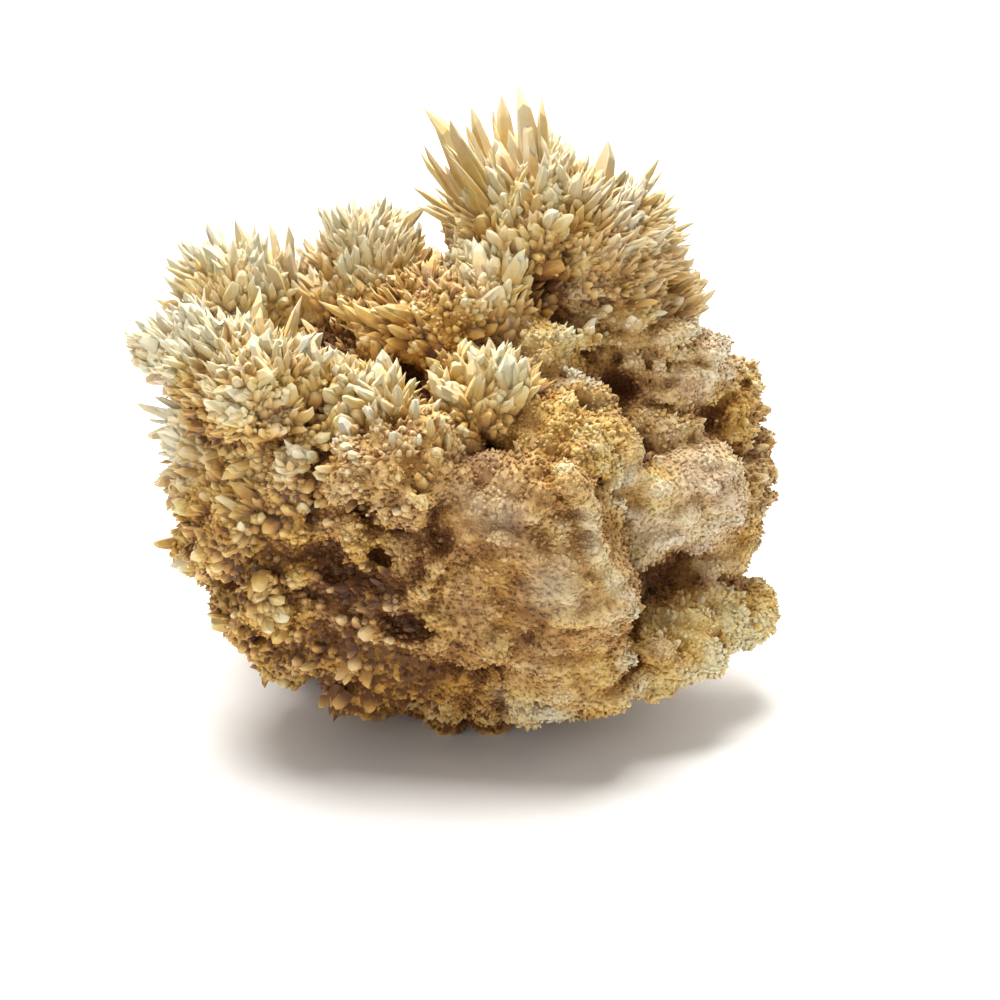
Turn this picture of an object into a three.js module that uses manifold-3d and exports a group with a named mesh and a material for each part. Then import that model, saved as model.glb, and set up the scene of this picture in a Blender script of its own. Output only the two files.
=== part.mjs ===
// Aragonite cluster: one hand-sized specimen, grown together as a single solid.
// A lumpy mass carries sprays of pointed crystals on its top and left, stubby crystals low on the left,
// and fine grained lumps with a few hollows on its right and back. It rests on a small flat spot.
// Millimetres, +Z up. The origin is the middle of that flat spot, and the show side faces -Y.

import * as THREE from "three";
import { mergeVertices } from "three/addons/utils/BufferGeometryUtils.js";
import Module from "manifold-3d";

const wasm = await Module();
wasm.setup();

// Driving dimensions: lengths in millimetres, and shares of the size named.
const grainedRoughness = 0.3; // how far a grained lump's corners stand in or out, of its half-axes
const crystalRoughness = 0.2; // the same for a lump that is covered with crystals
const coreRoughness = 0.1; // and for the core and the foot
const inwardShare = 0.38; // how much of that goes inward
const rootShare = 0.72; // where a small crystal is rooted, on the way from a lump's centre to its face
const clearance = 1.06; // how far clear of the other lumps a crystal grows, 1 being on their faces
const clearAt = 0.6; // the place along a crystal that has to be clear
const floorClearance = 0.8; // the lowest that a crystal reaches above the flat spot
const lengthSpread = 0.75; // how much the small crystals of one lump differ in length
const widthSpread = 0.5; // and in width
const sprayTilt = 0.35; // how far they lean away from the heart of the mass
const flatness = 0.72; // thickness of a crystal over its width
const waistShare = 0.42; // where a large crystal is widest, along its length
const rootWidth = 0.72; // width of its root over that of its waist
const leaderSink = 4; // how far a large crystal goes on into the mass behind its root

// The massive lumps: centre, half-axes, and the small crystals that grow on them. count is how many
// the whole lump would carry.
const lumps = {
  heart: { at: [-2, 8, 35], half: [33, 24, 32], roughness: coreRoughness },
  heartRight: { at: [19, 9, 33], half: [24, 22, 27], roughness: coreRoughness },
  foot: { at: [0, 0, 6], half: [22, 14.5, 8.5], roughness: coreRoughness },

  topSpray: { at: [14, 13, 72], half: [11.5, 11.5, 11.5], grow: { count: 36, length: 8, width: 3 } },
  topSprayRight: { at: [23, 12, 70], half: [10.5, 11.5, 10], grow: { count: 33, length: 6.5, width: 2.4 } },
  topNeck: { at: [23, 13, 59.5], half: [11, 12, 11] },
  backLeftSpray: { at: [-32.5, 10, 62], half: [8.5, 9.5, 8], grow: { count: 20, length: 6.5, width: 2.8 } },
  leftSpray: { at: [-28.5, -15.5, 56], half: [10, 10, 9], grow: { count: 29, length: 5.5, width: 2.7 } },
  leftEdge: { at: [-39, -1, 58.5], half: [5, 6, 6], grow: { count: 15, length: 5, width: 2.6 } },
  backMidSpray: { at: [-13, 14, 65.5], half: [8.5, 9, 7.5], grow: { count: 20, length: 6, width: 2.8 } },
  fanSpray: { at: [-3, 2, 60], half: [11, 9, 7], grow: { count: 32, length: 6, width: 3 } },
  ridgeSpray: { at: [7, 4, 64.5], half: [8, 9, 8.5], grow: { count: 24, length: 3.8, width: 2.6 } },
  ridgeKnob: { at: [14.5, -3, 58.5], half: [6, 6, 6.5], grow: { count: 10, length: 2.5, width: 2.6 } },
  midSpray: { at: [5, -13, 53.5], half: [7, 7, 6], grow: { count: 20, length: 4.5, width: 2.8 } },
  smallSpray: { at: [-11, -18, 51.5], half: [6.5, 6.5, 6], grow: { count: 18, length: 5, width: 2.6 } },
  frontSpray: { at: [-7, -27, 48], half: [8, 6.5, 6.5], grow: { count: 15, length: 2.6, width: 2.4 } },
  orangeKnob: { at: [16, -17, 47.5], half: [8.5, 7.5, 7] },
  midBridge: { at: [-2, -15, 47], half: [8, 8, 7], grow: { count: 12, length: 3.4, width: 2.4 } },
  leftBridge: { at: [-17, -10, 50], half: [9, 8, 8.5], grow: { count: 14, length: 4, width: 2.6 } },
  frontBridge: { at: [-11, -16.5, 37], half: [10.5, 9.5, 10.5], grow: { count: 14, length: 3, width: 2.6 } },

  leftFlankHigh: { at: [-35.5, -6, 45], half: [7.5, 11, 9], grow: { count: 24, length: 5, width: 2.8 } },
  leftFlank: { at: [-25, -16.5, 37], half: [13.5, 10.5, 10], grow: { count: 28, length: 4.4, width: 3 } },
  leftFlankLow: { at: [-31.5, -5, 28.5], half: [7.5, 11, 8], grow: { count: 30, length: 4, width: 2.8 } },
  lowerLeft: { at: [-21.5, -14, 24.5], half: [11.5, 12.5, 11.5], grow: { count: 34, length: 4, width: 2.8 } },
  lowerFront: { at: [-9.5, -19, 20], half: [12.5, 10.5, 10.5], grow: { count: 36, length: 3.4, width: 2.8 } },
  lowerLeftFoot: { at: [-18, -4, 13], half: [12.5, 12.5, 7.5], grow: { count: 28, length: 3.4, width: 2.6 } },

  browHigh: { at: [10, -25, 40], half: [10.5, 9, 9.5] },
  browRight: { at: [17.5, -24, 29], half: [12, 11, 13] },
  browLeft: { at: [3, -25, 29.5], half: [12, 9, 12] },
  chin: { at: [17.5, -23, 15.5], half: [12, 8, 7] },
  chinLeft: { at: [6, -17, 14.5], half: [13, 11, 8] },

  shoulder: { at: [30, 15, 59.5], half: [8.5, 10.5, 8.5] },
  rightShoulder: { at: [35.5, 12, 51], half: [9.5, 12, 9] },
  rightElbow: { at: [42.5, 14, 43.5], half: [7, 9, 8] },
  rightEdge: { at: [45, 11, 35], half: [5.5, 9, 8] },
  rightCheek: { at: [34, -2, 36.5], half: [12.5, 11, 9.5] },
  rightWaist: { at: [39.5, 5, 23], half: [7.5, 10, 8] },
  ledge: { at: [36.5, -6, 16], half: [9.5, 9, 5.5] },
  ledgeTip: { at: [45, 3, 14], half: [5.5, 7, 4] },
  ledgeLip: { at: [33, -11, 12.5], half: [9, 8, 4.5] },
  innerWall: { at: [18.5, -4, 48], half: [6.5, 8, 9.5] },
  innerWallLow: { at: [20.5, -15, 38], half: [6.5, 7.5, 11] },

  backLeft: { at: [-27, 24, 44], half: [12, 11, 12], grow: { count: 15, length: 5, width: 3 } },
  backTop: { at: [-8, 30, 52], half: [12, 10, 11], grow: { count: 16, length: 5.5, width: 3 } },
  backUnderSpray: { at: [12, 27, 57], half: [11, 9, 11], grow: { count: 18, length: 4.5, width: 2.8 } },
  backRightHigh: { at: [30, 25, 48], half: [10, 10, 11] },
  backMid: { at: [0, 35, 35], half: [14, 9, 13], grow: { count: 14, length: 3.4, width: 2.8 } },
  backLeftLow: { at: [-25, 26, 25], half: [12, 11, 12], grow: { count: 14, length: 3.6, width: 2.8 } },
  backRightLow: { at: [24, 30, 27], half: [13, 10, 12] },
  backLow: { at: [2, 27, 15], half: [17, 12, 11] },
  backFoot: { at: [-17, 18, 12], half: [13, 12, 9] },
  backHeel: { at: [24, 19, 13], half: [13, 12, 8.5] },
};

// Hollows between the grained lumps.
const hollows = {
  underTopSpray: { at: [14.5, -1, 67.5], half: [4, 6, 4.5] },
  behindRidge: { at: [25.5, -4, 52.5], half: [4, 6, 3.2] },
  rightElbowGap: { at: [41, 2, 46], half: [3.6, 5, 2.6] },
  aboveLedge: { at: [34, -12, 24.5], half: [6, 7, 3.2] },
  browGap: { at: [-1, -34, 39.4], half: [3, 5, 3] },
  underFrontSpray: { at: [-12, -29, 43.5], half: [3.6, 5, 2.6] },
  lowerGap: { at: [-5.5, -30, 25], half: [4, 5, 2.8] },
  backGap: { at: [13, 38, 42], half: [5, 5, 4] },
};

// The longest crystals, placed one by one: root, tip and width.
const leadingCrystals = [
  // the tall spray on the top right
  [[5, 11, 77], [-2.8, 10, 94], 5.6],
  [[8, 15, 78], [3, 16, 92.5], 4],
  [[10, 16, 78], [8, 18, 94], 3.7],
  [[14, 12, 79], [10.7, 12, 96.7], 5.4],
  [[16, 16, 78], [15, 17, 90], 2.3],
  [[18, 14, 77], [17.5, 14, 87.5], 2.6],
  [[22, 13, 74], [25, 15, 87.5], 5.6],
  [[24, 11, 73], [32.3, 10, 86], 2.5],
  [[24, 14, 72], [33.4, 15, 83], 2],
  [[25, 12, 72], [35.3, 12, 79.6], 2.5],
  [[26, 10, 70], [34.7, 8, 77.5], 2.3],
  [[27, 12, 69], [37.6, 12, 73.6], 2.2],
  [[28, 9, 69], [36.7, 7, 72.4], 1.9],
  [[30, 12, 66], [38.5, 14, 67.3], 1.9],
  [[5, 13, 74], [-5, 16, 85.3], 2.2],
  [[4, 12, 74], [-6, 12, 81], 2],
  [[5, 10, 73], [-5.2, 8, 79], 2],
  [[6, 8, 79], [0, 4, 93], 3.1],
  // the sprays along the back left
  [[-31, 11, 65], [-33, 12, 76], 3.3],
  [[-30, 10, 66], [-30, 9, 76], 2.2],
  [[-26, 11, 65], [-27.6, 13, 75], 2],
  [[-25, 9, 65], [-24.3, 8, 76], 3.4],
  [[-35, 10, 63], [-37.7, 12, 71.2], 2.6],
  [[-36, 9, 64], [-44, 8, 69.7], 1.9],
  [[-36, 10, 62], [-43.6, 12, 66.2], 1.9],
  [[-16, 14, 68], [-19.8, 15, 76.8], 3.7],
  [[-14, 15, 68], [-15, 17, 78.2], 2.6],
  [[-12, 14, 68], [-11.4, 14, 77.5], 1.9],
  [[-11, 15, 67], [-9.5, 17, 75.5], 2],
  [[-10, 13, 66], [-6.7, 12, 74], 3.4],
  // the left edge and the spray beside it
  [[-39, -1, 59], [-46.2, 0, 64], 2.5],
  [[-39, -3, 57], [-47.6, -3, 58.2], 2.6],
  [[-37, -8, 55], [-43.5, -8, 58], 2.2],
  [[-39, -7, 49], [-47.6, -7, 52], 2.6],
  [[-28, -15, 61], [-27.7, -13, 71.7], 3.9],
  [[-25, -15, 59], [-21.3, -14, 70.8], 2.8],
  [[-25, -16, 59], [-18.8, -17, 66.5], 2],
  [[-32, -14, 59], [-36, -12, 67.8], 3.4],
  // the fan, and the small sprays in front of it
  [[-8, 1, 60], [-20, 0, 65.8], 2.8],
  [[-8, 4, 61], [-16, 6, 69.2], 2.5],
  [[5, -13, 56], [6.2, -12, 64], 1.9],
  [[6, -14, 55], [11.3, -15, 58.2], 2.2],
  [[-10, -17, 53], [-7.1, -15, 61.6], 2.6],
  [[-12, -17, 53], [-15, -14, 59], 2.2],
  // the flanks
  [[-33, -6, 30], [-43, -7, 31.4], 3.9],
  [[-32, -8, 29], [-42, -10, 28], 2.8],
  [[-36, -5, 39], [-45.8, -4, 38.3], 2.3],
  [[-27, -8, 18], [-35, -6, 13.2], 2],
  [[45, 11, 36], [51.8, 10, 36], 2.2],
];

const up = new THREE.Vector3(0, 1, 0);
const goldenAngle = Math.PI * (3 - Math.sqrt(5));
const vectorOf = (numbers) => new THREE.Vector3(...numbers);

// A repeatable number from 0 to 1 for each set of keys, from the far digits of a sine.
function scatter(...keys) {
  const steps = [12.9898, 78.233, 37.719];
  const wave = Math.sin(keys.reduce((sum, key, n) => sum + (key + 1) * steps[n], 0)) * 43758.5453;
  return wave - Math.floor(wave);
}

// The geometry with its shared corners merged, so that only positions are left.
function weld(geometry) {
  geometry.deleteAttribute("normal");
  geometry.deleteAttribute("uv");
  return mergeVertices(geometry, 1e-4);
}

function solidOf(geometry) {
  const welded = weld(geometry);
  return new wasm.Manifold(
    new wasm.Mesh({
      numProp: 3,
      vertProperties: new Float32Array(welded.attributes.position.array),
      triVerts: new Uint32Array(welded.index.array),
    }),
  );
}

function geometryOf(solid) {
  const mesh = solid.getMesh();
  const geometry = new THREE.BufferGeometry();
  geometry.setAttribute("position", new THREE.BufferAttribute(mesh.vertProperties, 3));
  geometry.setIndex(new THREE.BufferAttribute(mesh.triVerts, 1));
  return geometry;
}

// Joined pair by pair, which is far quicker than adding them one by one.
function joined(solids) {
  if (solids.length === 1) return solids[0];
  const middle = solids.length >> 1;
  return joined(solids.slice(0, middle)).add(joined(solids.slice(middle)));
}

// An ellipsoid whose corners stand a little in or out, so that it reads as broken stone.
// One that is covered with crystals needs fewer facets.
function lumpSolid({ at, half, grow, roughness = grow ? crystalRoughness : grainedRoughness }, number) {
  const geometry = weld(new THREE.IcosahedronGeometry(1, grow ? 0 : 1));
  const corners = geometry.attributes.position;
  const corner = new THREE.Vector3();
  for (let i = 0; i < corners.count; i++) {
    const swell = 1 + roughness * (scatter(number, i) - inwardShare);
    corner.fromBufferAttribute(corners, i).multiplyScalar(swell);
    corners.setXYZ(i, corner.x, corner.y, corner.z);
  }
  geometry.scale(...half).translate(...at);
  return solidOf(geometry);
}

// A crystal made along +Y, turned to point from its root to its tip.
function placeCrystal(geometry, root, tip, turn) {
  const along = tip.clone().sub(root).normalize();
  geometry.scale(1, 1, flatness);
  geometry.rotateY(turn * Math.PI);
  geometry.applyQuaternion(new THREE.Quaternion().setFromUnitVectors(up, along));
  geometry.translate(root.x, root.y, root.z);
  return solidOf(geometry);
}

// A large six-sided crystal, widest near its middle, that goes on into the mass behind its root.
function leaderSolid([root, tip, width], number) {
  const [from, to] = [vectorOf(root), vectorOf(tip)];
  from.add(from.clone().sub(to).setLength(leaderSink));
  const length = from.distanceTo(to);
  const outline = [
    new THREE.Vector2(0, 0),
    new THREE.Vector2((width / 2) * rootWidth, 0),
    new THREE.Vector2(width / 2, length * waistShare),
    new THREE.Vector2(0, length),
  ];
  return placeCrystal(new THREE.LatheGeometry(outline, 6), from, to, scatter(number));
}

// A small four-sided crystal, tapering from its root to its tip.
function spikeSolid(root, tip, width, turn) {
  const length = root.distanceTo(tip);
  const geometry = new THREE.ConeGeometry(width / 2, length, 4).translate(0, length / 2, 0);
  return placeCrystal(geometry, root, tip, turn);
}

// How far a point lies from a lump's centre, 1 being on its face.
function shareOut(point, { at, half }) {
  return Math.hypot(...point.toArray().map((value, axis) => (value - at[axis]) / half[axis]));
}

// The small crystals of one lump, spread evenly over it and leaning away from the heart of the mass.
// Those that would be buried, would hang in a hollow or would reach below the flat spot are left out.
function crystalsOn(name, number) {
  const { count, length, width } = lumps[name].grow;
  const centre = vectorOf(lumps[name].at);
  const half = vectorOf(lumps[name].half);
  const meanHalf = (half.x + half.y + half.z) / 3;
  const others = Object.keys(lumps).filter((other) => other !== name);
  const grown = [];
  for (let i = 0; i < count; i++) {
    const height = 1 - (2 * (i + scatter(number, i, 0))) / count;
    const turn = i * goldenAngle + scatter(number, i, 1);
    const ring = Math.sqrt(1 - height * height);
    const outward = new THREE.Vector3(ring * Math.cos(turn), ring * Math.sin(turn), height);
    const root = outward.clone().multiply(half).multiplyScalar(rootShare).add(centre);
    const away = root.clone().sub(vectorOf(lumps.heart.at)).setLength(sprayTilt);
    const along = outward.divide(half).normalize().add(away).normalize();
    const reach = length * (1 + lengthSpread * (scatter(number, i, 2) - 0.5));
    const tip = root.clone().addScaledVector(along, (1 - rootShare) * meanHalf + reach);
    const clearPoint = root.clone().lerp(tip, clearAt);
    const buried = others.some((other) => shareOut(clearPoint, lumps[other]) < clearance);
    const unheld = Object.values(hollows).some((hollow) => shareOut(root, hollow) < clearance);
    if (buried || unheld || Math.min(root.z, tip.z) < floorClearance) continue;
    const thickness = width * (1 + widthSpread * (scatter(number, i, 3) - 0.4));
    grown.push(spikeSolid(root, tip, thickness, scatter(number, i, 4)));
  }
  return grown;
}

// A block that takes away everything below the flat spot.
function floorBlock() {
  const side = 200;
  return solidOf(new THREE.BoxGeometry(side, side, side).translate(0, 0, -side / 2));
}

function clusterSolid() {
  const names = Object.keys(lumps);
  const mass = joined(names.map((name, n) => lumpSolid(lumps[name], n)));
  const cuts = joined(Object.values(hollows).map((hollow, n) => lumpSolid(hollow, names.length + n)));
  const small = names.flatMap((name, n) => (lumps[name].grow ? crystalsOn(name, n) : []));
  const large = leadingCrystals.map(leaderSolid);
  return mass.subtract(cuts).add(joined([...small, ...large])).subtract(floorBlock());
}

const aragonite = new THREE.MeshStandardMaterial({
  color: "#c6a878",
  roughness: 0.45,
  metalness: 0,
  flatShading: true,
});

const cluster = new THREE.Mesh(geometryOf(clusterSolid()), aragonite);
cluster.name = "aragonite_cluster";

const specimen = new THREE.Group();
specimen.add(cluster);

export default specimen;
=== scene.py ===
import math

import bpy
import numpy as np
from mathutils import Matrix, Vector


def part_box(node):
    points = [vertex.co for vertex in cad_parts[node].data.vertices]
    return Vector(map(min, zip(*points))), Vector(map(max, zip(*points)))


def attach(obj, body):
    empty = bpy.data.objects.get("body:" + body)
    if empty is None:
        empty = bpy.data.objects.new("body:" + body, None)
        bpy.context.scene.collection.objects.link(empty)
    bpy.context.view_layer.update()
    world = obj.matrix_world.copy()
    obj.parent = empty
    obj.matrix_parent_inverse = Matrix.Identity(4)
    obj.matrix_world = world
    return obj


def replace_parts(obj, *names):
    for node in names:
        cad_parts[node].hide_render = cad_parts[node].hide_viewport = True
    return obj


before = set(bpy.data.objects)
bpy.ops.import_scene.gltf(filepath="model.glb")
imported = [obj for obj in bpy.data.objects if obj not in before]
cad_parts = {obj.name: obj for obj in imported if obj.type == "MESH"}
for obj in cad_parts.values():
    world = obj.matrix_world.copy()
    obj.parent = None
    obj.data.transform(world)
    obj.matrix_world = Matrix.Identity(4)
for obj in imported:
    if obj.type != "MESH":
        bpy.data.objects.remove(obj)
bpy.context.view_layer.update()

mm = 0.001
bodyName = "root"
nodeName = "aragonite_cluster"

stage = {
    "aim": (7.8, 0.0, 33.9),  # mm, the point in the middle of the view
    "distance": 453.0,  # mm
    "elevation": 20.0,  # degrees
    "lens": 105.0,  # mm
    "nearest": 0.01,  # m, nothing nearer than this is drawn
    "floorSize": 3.0,  # m
    "floorColour": (0.92, 0.92, 0.91),
    "floorRoughness": 0.7,
    "wallAt": 0.8,  # m behind the specimen
    "wallGlow": 1.0,
    "skyStrength": 0.2,
    "lampsAimAt": (0, 0, 0.035),  # m
}

lamps = {
    # name: place in mm, size in mm, watts, colour
    "key": ((-60, 130, 560), 560, 7.5, (1.0, 0.985, 0.96)),
    "front": ((-160, -520, 150), 420, 1.05, (1.0, 0.99, 0.975)),
    "side": ((460, -160, 240), 420, 0.5, (1.0, 0.99, 0.98)),
}


def aimAt(thing, target):
    thing.rotation_euler = (Vector(target) - thing.location).to_track_quat("-Z", "Y").to_euler()


def addCamera():
    aim = Vector(stage["aim"]) * mm
    tilt = math.radians(stage["elevation"])
    data = bpy.data.cameras.new("camera")
    data.lens = stage["lens"]
    data.clip_start = stage["nearest"]
    camera = bpy.data.objects.new("camera", data)
    camera.location = aim + Vector((0, -math.cos(tilt), math.sin(tilt))) * stage["distance"] * mm
    bpy.context.collection.objects.link(camera)
    aimAt(camera, aim)
    bpy.context.scene.camera = camera


def addLamps():
    for name, (place, size, watts, colour) in lamps.items():
        data = bpy.data.lights.new(name, "AREA")
        data.shape = "DISK"
        data.size = size * mm
        data.energy = watts
        data.color = colour
        lamp = bpy.data.objects.new(name, data)
        lamp.location = Vector(place) * mm
        bpy.context.collection.objects.link(lamp)
        aimAt(lamp, stage["lampsAimAt"])


def addSheet(name, corners, glow):
    mesh = bpy.data.meshes.new(name)
    mesh.from_pydata(corners, [], [(0, 1, 2, 3)])
    sheet = bpy.data.objects.new(name, mesh)
    bpy.context.collection.objects.link(sheet)
    paper = bpy.data.materials.new(name)
    paper.use_nodes = True
    shader = paper.node_tree.nodes["Principled BSDF"]
    shader.inputs["Base Color"].default_value = (*stage["floorColour"], 1)
    shader.inputs["Roughness"].default_value = stage["floorRoughness"]
    shader.inputs["Emission Color"].default_value = (1, 1, 1, 1)
    shader.inputs["Emission Strength"].default_value = glow
    mesh.materials.append(paper)


def addFloor():
    half, back = stage["floorSize"] / 2, stage["wallAt"]
    addSheet("floor", [(-half, -half, 0), (half, -half, 0), (half, back, 0), (-half, back, 0)], 0.0)
    wall = [(-half, back, 0), (half, back, 0), (half, back, half), (-half, back, half)]
    addSheet("wall", wall, stage["wallGlow"])


def addSky():
    world = bpy.data.worlds.new("sky")
    world.use_nodes = True
    background = world.node_tree.nodes["Background"]
    background.inputs["Color"].default_value = (1, 1, 1, 1)
    background.inputs["Strength"].default_value = stage["skyStrength"]
    scene = bpy.context.scene
    scene.world = world
    scene.view_settings.view_transform = "Standard"


# The lumps of the mass, in mm, nearly as in the solid: centre and half-axes. coat: what grows on it.
# tone: 0 cream to 1 deep brown, set partly as painted light and shade: darker low down, under the fan spray
# and on the front brow, paler on the top sprays. rosy: 0 yellow to 1 pinkish tan.
lumps = {
    # heart: darker partly as painted shade, under the fan spray
    "heart": dict(at=(-2, 8, 35), half=(33, 24, 32), coat="stubs", tone=0.74, rosy=0.1),
    "heartRight": dict(at=(19, 9, 33), half=(24, 22, 27), coat="sugar", tone=0.6, rosy=0.5),
    "foot": dict(at=(0, 0, 6), half=(22, 14.5, 8.5), coat="stubs", tone=0.8, rosy=0.3),
    "topSpray": dict(at=(14, 13, 72), half=(11.5, 11.5, 11.5), coat="spears", tone=0.36, rosy=0.1),
    "topSprayRight": dict(at=(23, 12, 70), half=(10.5, 11.5, 10), coat="needles", tone=0.34, rosy=0.3),
    "topNeck": dict(at=(23, 13, 59.5), half=(11, 12, 11), coat="stubs", tone=0.44, rosy=0.3),
    "backLeftSpray": dict(at=(-32.5, 10, 62), half=(8.5, 9.5, 8), coat="spears", tone=0.28, rosy=0.15),
    "leftSpray": dict(at=(-28.5, -15.5, 56), half=(10, 10, 9), coat="chunks", tone=0.37, rosy=0.15),
    "leftEdge": dict(at=(-39, -1, 58.5), half=(5, 6, 6), coat="chunks", tone=0.08, rosy=0.3),
    "backMidSpray": dict(at=(-13, 14, 65.5), half=(8.5, 9, 7.5), coat="needles", tone=0.16, rosy=0.2),
    "fanSpray": dict(at=(-3, 2, 60), half=(11, 9, 7), coat="spears", tone=0.43, rosy=0.1),
    "ridgeSpray": dict(at=(7, 4, 64.5), half=(8, 9, 8.5), coat="chunks", tone=0.26, rosy=0.15),
    "ridgeKnob": dict(at=(14.5, -3, 58.5), half=(6, 6, 6.5), coat="beads", tone=0.42, rosy=0.0),
    "midSpray": dict(at=(5, -13, 53.5), half=(7, 7, 6), coat="chunks", tone=0.3, rosy=0.05),
    "smallSpray": dict(at=(-11, -18, 51.5), half=(6.5, 6.5, 6), coat="chunks", tone=0.3, rosy=0.1),
    "frontSpray": dict(at=(-7, -27, 48), half=(8, 6.5, 6.5), coat="stubs", tone=0.53, rosy=0.45),
    "orangeKnob": dict(at=(16, -17, 47.5), half=(8.5, 7.5, 7), coat="beads", tone=0.52, rosy=0.0),
    "midBridge": dict(at=(-2, -15, 47), half=(8, 8, 7), coat="stubs", tone=0.4, rosy=0.1),
    "leftBridge": dict(at=(-17, -10, 50), half=(9, 8, 8.5), coat="chunks", tone=0.36, rosy=0.15),
    "frontBridge": dict(at=(-11, -16.5, 37), half=(10.5, 9.5, 10.5), coat="stubs", tone=0.54, rosy=0.25),
    "leftFlankHigh": dict(at=(-35.5, -6, 45), half=(7.5, 11, 9), coat="chunks", tone=0.24, rosy=0.25),
    "leftFlank": dict(at=(-25, -16.5, 37), half=(13.5, 10.5, 10), coat="stubs", tone=0.66, rosy=0.1),
    "leftFlankLow": dict(at=(-31.5, -5, 28.5), half=(7.5, 11, 8), coat="stubs", tone=0.48, rosy=0.15),
    "lowerLeft": dict(at=(-21.5, -14, 24.5), half=(11.5, 12.5, 11.5), coat="stubs", tone=0.65, rosy=0.15),
    # lowerFront, lowerLeftFoot: darker partly as painted shade low down
    "lowerFront": dict(at=(-9.5, -19, 20), half=(12.5, 10.5, 10.5), coat="stubs", tone=0.7, rosy=0.2),
    "lowerLeftFoot": dict(at=(-18, -4, 13), half=(12.5, 12.5, 7.5), coat="stubs", tone=0.62, rosy=0.1),
    "browHigh": dict(at=(10, -25, 40), half=(10.5, 9, 9.5), coat="sugar", tone=0.64, rosy=0.7),
    "browRight": dict(at=(17.5, -24, 29), half=(12, 11, 13), coat="sugar", tone=0.62, rosy=0.5),
    "browLeft": dict(at=(3, -25, 29.5), half=(12, 9, 12), coat="beads", tone=0.58, rosy=0.4),
    "chin": dict(at=(17.5, -23, 16.3), half=(12, 8, 6.6), coat="sugar", tone=0.55, rosy=0.3),
    # chinLeft: darker partly as painted shade low down
    "chinLeft": dict(at=(6, -17, 14.5), half=(13, 11, 8), coat="beads", tone=0.66, rosy=0.2),
    "shoulder": dict(at=(30, 15, 59.5), half=(8.5, 10.5, 8.5), coat="needles", tone=0.46, rosy=0.4),
    "rightShoulder": dict(at=(35.5, 12, 51), half=(9.5, 12, 9), coat="sugar", tone=0.3, rosy=0.8),
    "rightElbow": dict(at=(42.5, 14, 43.5), half=(7, 9, 8), coat="beads", tone=0.46, rosy=0.3),
    "rightEdge": dict(at=(45, 11, 35), half=(5.5, 9, 8), coat="beads", tone=0.54, rosy=0.5),
    "rightCheek": dict(at=(34, -2, 36.5), half=(12.5, 11, 9.5), coat="sugar", tone=0.36, rosy=0.75),
    "rightWaist": dict(at=(39.5, 5, 24.5), half=(7.5, 10, 9), coat="sugar", tone=0.4, rosy=0.7),
    "ledge": dict(at=(36.5, -6, 16), half=(9.5, 9, 5), coat="beads", tone=0.3, rosy=0.0),
    "ledgeTip": dict(at=(45, 3, 14), half=(5.5, 7, 4), coat="beads", tone=0.36, rosy=0.1),
    "ledgeLip": dict(at=(33, -11, 14.4), half=(9, 8, 3.2), coat="sugar", tone=0.28, rosy=0.0),
    "innerWall": dict(at=(18.5, -4, 48), half=(6.5, 8, 9.5), coat="sugar", tone=0.34, rosy=0.6),
    "innerWallLow": dict(at=(20.5, -15, 38), half=(6.5, 7.5, 11), coat="sugar", tone=0.3, rosy=0.5),
    "backLeft": dict(at=(-27, 24, 44), half=(12, 11, 12), coat="chunks", tone=0.4, rosy=0.2),
    "backTop": dict(at=(-8, 30, 52), half=(12, 10, 11), coat="spears", tone=0.38, rosy=0.2),
    "backUnderSpray": dict(at=(12, 27, 57), half=(11, 9, 11), coat="chunks", tone=0.42, rosy=0.2),
    "backRightHigh": dict(at=(30, 25, 48), half=(10, 10, 11), coat="beads", tone=0.5, rosy=0.5),
    "backMid": dict(at=(0, 35, 35), half=(14, 9, 13), coat="stubs", tone=0.52, rosy=0.3),
    "backLeftLow": dict(at=(-25, 26, 25), half=(12, 11, 12), coat="stubs", tone=0.56, rosy=0.3),
    "backRightLow": dict(at=(24, 30, 27), half=(13, 10, 12), coat="sugar", tone=0.5, rosy=0.6),
    "backLow": dict(at=(2, 27, 15), half=(17, 12, 11), coat="beads", tone=0.58, rosy=0.5),
    "backFoot": dict(at=(-17, 18, 12), half=(13, 12, 9), coat="stubs", tone=0.6, rosy=0.3),
    "backHeel": dict(at=(24, 19, 13), half=(13, 12, 8.5), coat="sugar", tone=0.54, rosy=0.5),
    # low swellings that fill the valleys between the others
    "scarpFoot": dict(at=(29, -9.5, 36), half=(8, 8, 9), coat="sugar", tone=0.3, rosy=0.6),
    "lipFoot": dict(at=(30, -16, 14.5), half=(7, 6, 3.2), coat="beads", tone=0.5, rosy=0.1),
    "waistFill": dict(at=(44.5, 8, 29), half=(5.5, 8, 6), coat="beads", tone=0.5, rosy=0.4),
    "browFill": dict(at=(13.5, -27.5, 35), half=(9.5, 6.5, 8), coat="sugar", tone=0.61, rosy=0.6),
    "chinFill": dict(at=(17, -25, 19), half=(10, 7.5, 6), coat="sugar", tone=0.54, rosy=0.4),
    "cheekFill": dict(at=(31, 0, 46), half=(8, 8, 5.5), coat="beads", tone=0.4, rosy=0.5),
    "shoulderFill": dict(at=(31, 7, 56), half=(8, 7, 6), coat="beads", tone=0.42, rosy=0.4),
    "frontFill": dict(at=(-8, -20, 30), half=(9, 8, 6), coat="stubs", tone=0.6, rosy=0.2),
    "saddleFill": dict(at=(-23, 12, 60), half=(6, 8, 7.5), coat="chunks", tone=0.32, rosy=0.2),
    "leftFill": dict(at=(-25, -17.5, 45.5), half=(11, 8, 8), coat="chunks", tone=0.32, rosy=0.2),
}

# times the usual size of crystals, on these lumps
crystalSizes = {
    "topNeck": 0.85, "midSpray": 1.15, "smallSpray": 1.15, "frontSpray": 0.85, "leftFlank": 1.2,
    "leftFlankLow": 1.1, "lowerLeft": 1.25, "lowerFront": 1.2, "frontFill": 1.2,
}

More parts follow.
